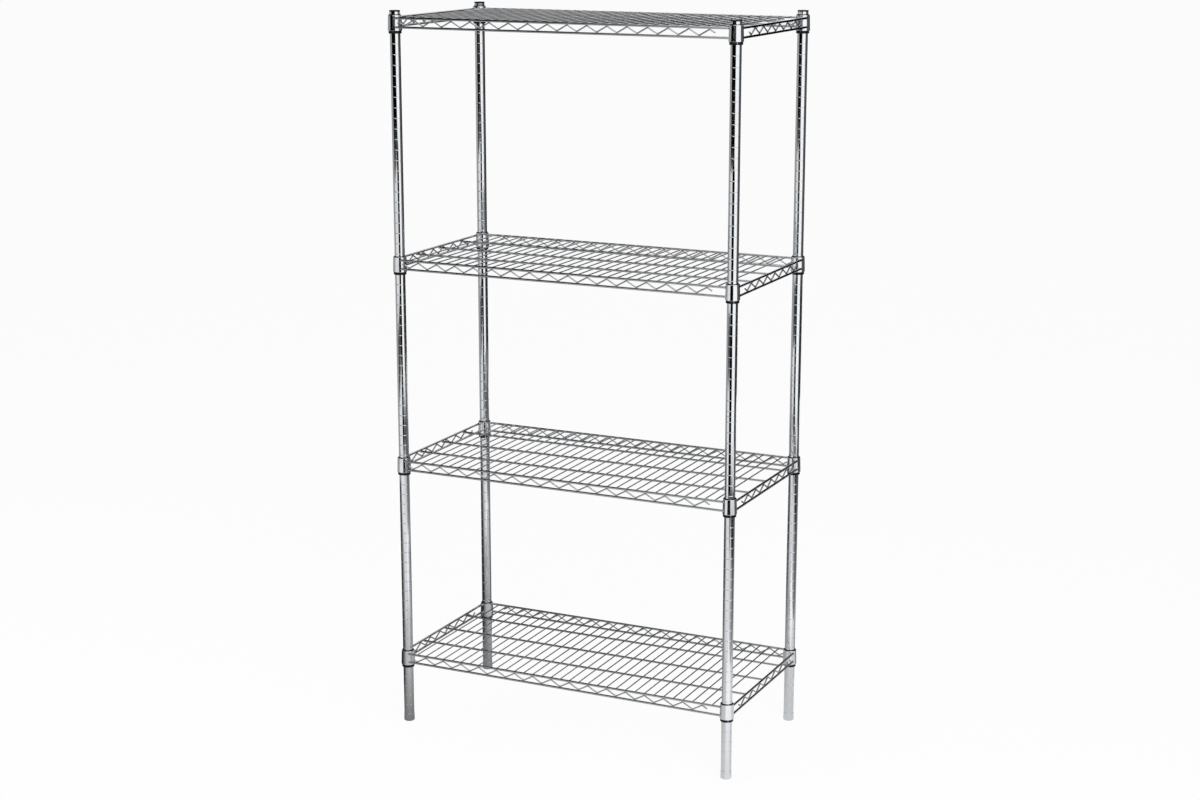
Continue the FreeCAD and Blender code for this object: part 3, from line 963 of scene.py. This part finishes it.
class SHELVING_OT_welds(bpy.types.Operator):
    """Adds the metal squeezed out where wires are welded to each other and to the collars"""

    bl_idname = "shelving.welds"
    bl_label = "Welds"

    def execute(self, context):
        finish = plated_weld()
        for shelf in SHELVES:
            welds = weld_points(context, shelf)
            mesh = line_mesh(f"{shelf}_welds", [([place], False) for place, _ in welds])
            spread = mesh.attributes.new("spread", "FLOAT_VECTOR", "POINT")
            spread.data.foreach_set("vector", [part for _, size in welds for part in size])
            piece = grow(f"{shelf}_shelf_welds", mesh, tree_named("Welds", weld_tree), material=finish)
            smooth(piece)
            dress(piece, f"{shelf}_shelf", "chrome_plate")
        return {"FINISHED"}


class SHELVING_OT_sleeves(bpy.types.Operator):
    """Finishes the split sleeves that the collars rest on"""

    bl_idname = "shelving.sleeves"
    bl_label = "Split Sleeves"

    def execute(self, context):
        for shelf in SHELVES:
            paint(f"{shelf}_shelf_sleeves", moulded_black_plastic())
        return {"FINISHED"}


def levelling_screw(context, corner):
    """A levelling screw: a core with a head, and a ridge wound around it."""
    sizes, zinc = context.scene.shelving_fittings, zinc_plate()
    node = f"foot_stem_{corner}"
    low, high = node_box(node)
    pitch, depth = sizes.thread_pitch, sizes.thread_depth
    head, shoulder = (high.x - low.x) / 2, low.z + sizes.head_height
    core = sizes.thread_diameter / 2 - depth
    outline = [
        (0.0, high.z),
        (core - sizes.tip_width, high.z, BROKEN_EDGE),
        (core, high.z - sizes.tip_height, FINE_EDGE),
        (core, shoulder),
        (head, shoulder, sizes.head_round),
        (head, low.z, sizes.head_round),
        (0.0, low.z),
    ]
    screw = turned_piece(f"{node}_screw", rounded(outline), [post_place(corner)], zinc, closed=False)
    # The thread starts a pitch above the head and stops two below the tip.
    start, rise = shoulder + pitch, high.z - shoulder - 3 * pitch
    foot = pitch / 2 * sizes.thread_foot
    crest = foot * sizes.thread_crest
    corners = [(-sizes.thread_sink, foot), (depth, crest), (depth, -crest), (-sizes.thread_sink, -foot)]
    section = [(x, y, 0.0) for x, y in corners]
    wound = {"turns": rise / pitch, "radius": core, "height": rise, "place": tuple(post_place(corner, start))}
    tree = tree_named("Screw thread", thread_tree)
    ridge = grow(f"{node}_thread", line_mesh(node, [(section, True)]), tree, material=zinc, **wound)
    outwards(ridge)
    join(screw, ridge)
    smooth(screw)
    return screw


class SHELVING_OT_feet(bpy.types.Operator):
    """Builds the levelling screws and finishes the foot cups, inserts and joining studs"""

    bl_idname = "shelving.feet"
    bl_label = "Levelling Feet"

    def execute(self, context):
        for corner in CORNERS:
            paint(f"foot_cup_{corner}", chrome_on_collar())
            paint(f"foot_insert_{corner}", zinc_plate())
            node = f"foot_stem_{corner}"
            dress(levelling_screw(context, corner), node, "zinc_plate", node)
        paint("post_joining_studs", zinc_plate())
        return {"FINISHED"}


def seen_rays(tree):
    """A value of 1 for the rays that show a backdrop: from the camera, mirrored or passed through."""
    path = add_node(tree, "ShaderNodeLightPath")
    bounced = {0: path["Is Glossy Ray"], 1: path["Is Transmission Ray"]}
    mirrored = add_node(tree, "ShaderNodeMath", bounced, operation="MAXIMUM")["Value"]
    direct = {0: path["Is Camera Ray"], 1: mirrored}
    return add_node(tree, "ShaderNodeMath", direct, operation="MAXIMUM")["Value"]


def white_room(scene):
    """The world around the unit: white to the eye, and dimmer as a light."""
    studio = scene.shelving_studio
    scene.world = bpy.data.worlds.new("White room")
    scene.world.use_nodes = True
    tree = scene.world.node_tree
    tree.nodes.clear()
    # As white as the floor is far away, so that no horizon shows.
    far_floor = studio.floor_glow + (1 - studio.floor_glow) * studio.floor_colour[0] * studio.room_light
    strengths = (studio.room_light, far_floor)
    white = linear("#ffffff")
    room, seen = (add_node(tree, "ShaderNodeBackground", {"Color": white, "Strength": s}) for s in strengths)
    both = {0: seen_rays(tree), 1: room["Background"], 2: seen["Background"]}
    mixed = add_node(tree, "ShaderNodeMixShader", both)["Shader"]
    add_node(tree, "ShaderNodeOutputWorld", {"Surface": mixed})


@material("Pale studio floor")
def pale_floor(tree):
    """Matt white paint. Most of what is seen of it is plain white, and the rest keeps the unit's shadow."""
    studio = bpy.context.scene.shelving_studio
    whitened = {0: seen_rays(tree), 1: studio.floor_glow}
    glowing = add_node(tree, "ShaderNodeMath", whitened, operation="MULTIPLY")["Value"]
    matt = add_node(tree, "ShaderNodeBsdfDiffuse", {"Color": studio.floor_colour})["BSDF"]
    glow = add_node(tree, "ShaderNodeEmission", {"Color": linear("#ffffff"), "Strength": 1.0})["Emission"]
    return add_node(tree, "ShaderNodeMixShader", {0: glowing, 1: matt, 2: glow})["Shader"]


def studio_floor(reach):
    """A wide level floor under the unit."""
    mesh = bpy.data.meshes.new("floor")
    corners = [(-reach, -reach, 0), (reach, -reach, 0), (reach, reach, 0), (-reach, reach, 0)]
    mesh.from_pydata(corners, [], [(0, 1, 2, 3)])
    mesh.materials.append(pale_floor())
    put("floor", mesh)


@material("Painted reflection card")
def painted_reflection_card(tree):
    """The surface of the studio cards: a glow seen only in reflections, a painted reflection as bright as the
    shade at each of their corners.
    """
    shade = add_node(tree, "ShaderNodeAttribute", attribute_name="shade")["Color"]
    return add_node(tree, "ShaderNodeEmission", {"Color": shade, "Strength": 1.0})["Emission"]


def card(name, points, shades, strength):
    """A glowing card that only reflections see, which paints light and shade into them: a strip between its
    two long edges, whose points take turns.
    """
    mesh = bpy.data.meshes.new(name)
    mesh.from_pydata(points, [], [(i, i + 2, i + 3, i + 1) for i in range(0, len(points) - 2, 2)])
    tints = [part * strength for shade in shades for part in linear(shade)]
    mesh.attributes.new("shade", "FLOAT_COLOR", "POINT").data.foreach_set("color", tints)
    mesh.materials.append(painted_reflection_card())
    panel = put(name, mesh)
    # Hidden from all but reflections, so the card is only a painted reflection and lights nothing.
    panel.visible_camera = panel.visible_diffuse = panel.visible_shadow = panel.visible_transmission = False


def wall_card(name, shade, start, stop, low, high, distance=CARD_DISTANCE, strength=1.0):
    """A card bent round the front right post, between two angles from +X, in degrees, and two heights."""
    middle = post_place("front_right")
    steps = math.ceil((stop - start) / CARD_STEP)
    points = []
    for step in range(steps + 1):
        turn = math.radians(start + (stop - start) * step / steps)
        x, y = middle.x + distance * math.cos(turn), middle.y + distance * math.sin(turn)
        points += [(x, y, low), (x, y, high)]
    card(name, points, [shade] * len(points), strength)


def flat_card(name, shades, left, right, front, back, height=0.001, strength=1.0):
    """A level card, on the floor or overhead. Its shades: front left, back left, front right, back right."""
    card(name, [(x, y, height) for x in (left, right) for y in (front, back)], shades, strength)


def standing_cards():
    """Cards around the unit, seen only in reflections, that paint streaks of light and shade into the chrome:
    black at the left, white at the right, dark behind. The cards brighter than white glow, though they are no
    lamps.
    """
    black, soot, white = "#030303", "#0a0a0a", "#ffffff"
    wall_card("black_card", black, -152, -70, 1.06, 1.9)
    wall_card("high_black_card", black, -152, -120, 1.9, 5)
    wall_card("high_grey_card", "#8c8c8c", -120, -114, 1.9, 5)
    wall_card("high_white_card", white, -114, -70, 1.9, 5, strength=1.4)
    wall_card("low_card", "#4a4a4a", -152, -92, 0.25, 0.52)
    wall_card("camera_card", "#050505", -106, -59, 0.2, 1.25, distance=1.75)
    wall_card("white_card", white, -65, 0, 0, 5, strength=1.25)
    wall_card("side_card", "#5c5c5e", 6, 62, 0.6, 5)
    wall_card("low_side_card", "#3a3a3b", 2, 62, 0, 0.6)
    wall_card("back_card", soot, 62, 112, 0.2, 2.1)
    wall_card("back_shade", soot, 62, 90, 2.1, 5)
    wall_card("back_glow", white, 90, 125, 2.1, 5, strength=1.25)
    wall_card("grey_card", "#aeafb0", 112, 208, 0, 1.8)
    wall_card("dim_card", "#3c3c3e", 125, 208, 1.8, 5)


def overhead_cards():
    """Cards above the unit, seen only in reflections, dark at the left and bright at the right: a painted
    reflection that pales long wires to the right.
    """
    soot, white = "#0a0a0a", "#ffffff"
    reach = {"front": -3.5, "back": 3.5, "height": 5}
    flat_card("ceiling_card", [soot] * 4, -3.5, -1.9, **reach)
    flat_card("ceiling_shade", [soot, soot, white, white], -1.9, -0.9, **reach, strength=1.4)
    flat_card("ceiling_light", [white] * 4, -0.9, 3.5, **reach, strength=1.4)


def floor_cards():
    """Cards on the floor, seen only in reflections: painted shade and painted light that shade the lower
    halves of the posts and the undersides of the wires.
    """
    white, pale, light, dim, dusk, dark = "#ffffff", "#e2e2e2", "#c4c4c4", "#707070", "#4a4a4a", "#282828"
    flat_card("floor_card_far_front", [white, pale, pale, white], -0.7, 1.25, -2.4, -1.0)
    flat_card("floor_card_front", [light, dusk, pale, pale], -0.7, 0.44, -1.0, -0.2)
    flat_card("floor_card_under", [dusk, dim, pale, pale], -0.7, 0.44, -0.2, 0.5)
    flat_card("floor_card_near", [white, pale, white, white], 0.44, 1.25, -1.0, -0.2, strength=1.2)
    flat_card("floor_card_beside", [pale, pale, white, pale], 0.44, 1.25, -0.2, 0.5)
    flat_card("floor_card_left", [dim, dark, pale, dark], -3, -0.7, -1.8, -0.2)
    flat_card("floor_card_far_left", [dark, dim, dark, dim], -3, -0.7, -0.2, 1.2)
    flat_card("floor_card_back", [dark, dim, light, dim], -0.7, 1.25, 0.5, 3)
    flat_card("floor_card_right", [white, dim, pale, dark], 1.25, 2.2, -1.8, 0.5)
    flat_card("floor_card_far_right", [dark] * 4, 1.25, 2.2, -2.8, -1.8)
    flat_card("floor_card_side", [dark, dark, dim, dark], 2.2, 3.0, -1.9, 0.5)
    flat_card("floor_card_back_right", [dim, dim, dark, dim], 1.25, 3.4, 0.5, 3)


def soft_lamp(name, place, size, power):
    """A square soft lamp that points at the unit and shows in no reflection."""
    lamp = bpy.data.lights.new(name, "AREA")
    lamp.size = size
    lamp.energy = power
    holder = put(name, lamp)
    holder.location = place
    holder.rotation_euler = (LAMP_AIM - Vector(place)).to_track_quat("-Z", "Y").to_euler()
    holder.visible_glossy = False


def studio_camera(studio):
    """The camera at the photo's viewing angle, level from side to side."""
    camera = bpy.data.cameras.new("camera")
    camera.lens = studio.lens
    camera.sensor_width = 36.0
    camera.sensor_fit = "HORIZONTAL"
    holder = put("camera", camera)
    holder.location = studio.camera_place
    turn, dip = studio.camera_turn, studio.camera_dip
    aim = Vector((-math.sin(turn) * math.cos(dip), math.cos(turn) * math.cos(dip), -math.sin(dip)))
    holder.rotation_euler = aim.to_track_quat("-Z", "Y").to_euler()
    return holder


class SHELVING_OT_stage(bpy.types.Operator):
    """Sets up the floor, the white room, the studio cards, the lamps and the camera"""

    bl_idname = "shelving.stage"
    bl_label = "Studio"

    def execute(self, context):
        scene, studio = context.scene, context.scene.shelving_studio
        scene.view_settings.view_transform = "Standard"
        white_room(scene)
        studio_floor(studio.floor_reach)
        standing_cards()
        overhead_cards()
        floor_cards()
        soft_lamp("key_lamp", place=(2.6, -2.8, 3.4), size=2.2, power=studio.key_power)
        soft_lamp("fill_lamp", place=(-3.0, -2.4, 2.6), size=2.0, power=studio.fill_power)
        scene.camera = studio_camera(studio)
        return {"FINISHED"}


STEPS = (
    SHELVING_OT_posts,
    SHELVING_OT_caps,
    SHELVING_OT_collars,
    SHELVING_OT_rails,
    SHELVING_OT_zigzags,
    SHELVING_OT_decks,
    SHELVING_OT_welds,
    SHELVING_OT_sleeves,
    SHELVING_OT_feet,
    SHELVING_OT_stage,
)


class SHELVING_PT_panel(bpy.types.Panel):
    """Lists the sizes and finishes of the shelving unit, and the steps that build it"""

    bl_idname = "SHELVING_PT_panel"
    bl_label = "Wire Shelving Unit"
    bl_space_type = "VIEW_3D"
    bl_region_type = "UI"
    bl_category = "Shelving"

    def draw(self, context):
        for group, kind in GROUPS.items():
            box = self.layout.box()
            settings = getattr(context.scene, group)
            for name in kind.__annotations__:
                box.prop(settings, name)
        for step in STEPS:
            self.layout.operator(step.bl_idname)


def register():
    for group, kind in GROUPS.items():
        bpy.utils.register_class(kind)
        setattr(bpy.types.Scene, group, PointerProperty(type=kind))
    for kind in (*STEPS, SHELVING_PT_panel):
        bpy.utils.register_class(kind)


def unregister():
    for kind in (SHELVING_PT_panel, *reversed(STEPS)):
        bpy.utils.unregister_class(kind)
    for group, kind in reversed(GROUPS.items()):
        delattr(bpy.types.Scene, group)
        bpy.utils.unregister_class(kind)


def main():
    register()
    for step in STEPS:
        getattr(bpy.ops.shelving, step.bl_idname.removeprefix("shelving."))()


if __name__ == "__main__":
    main()
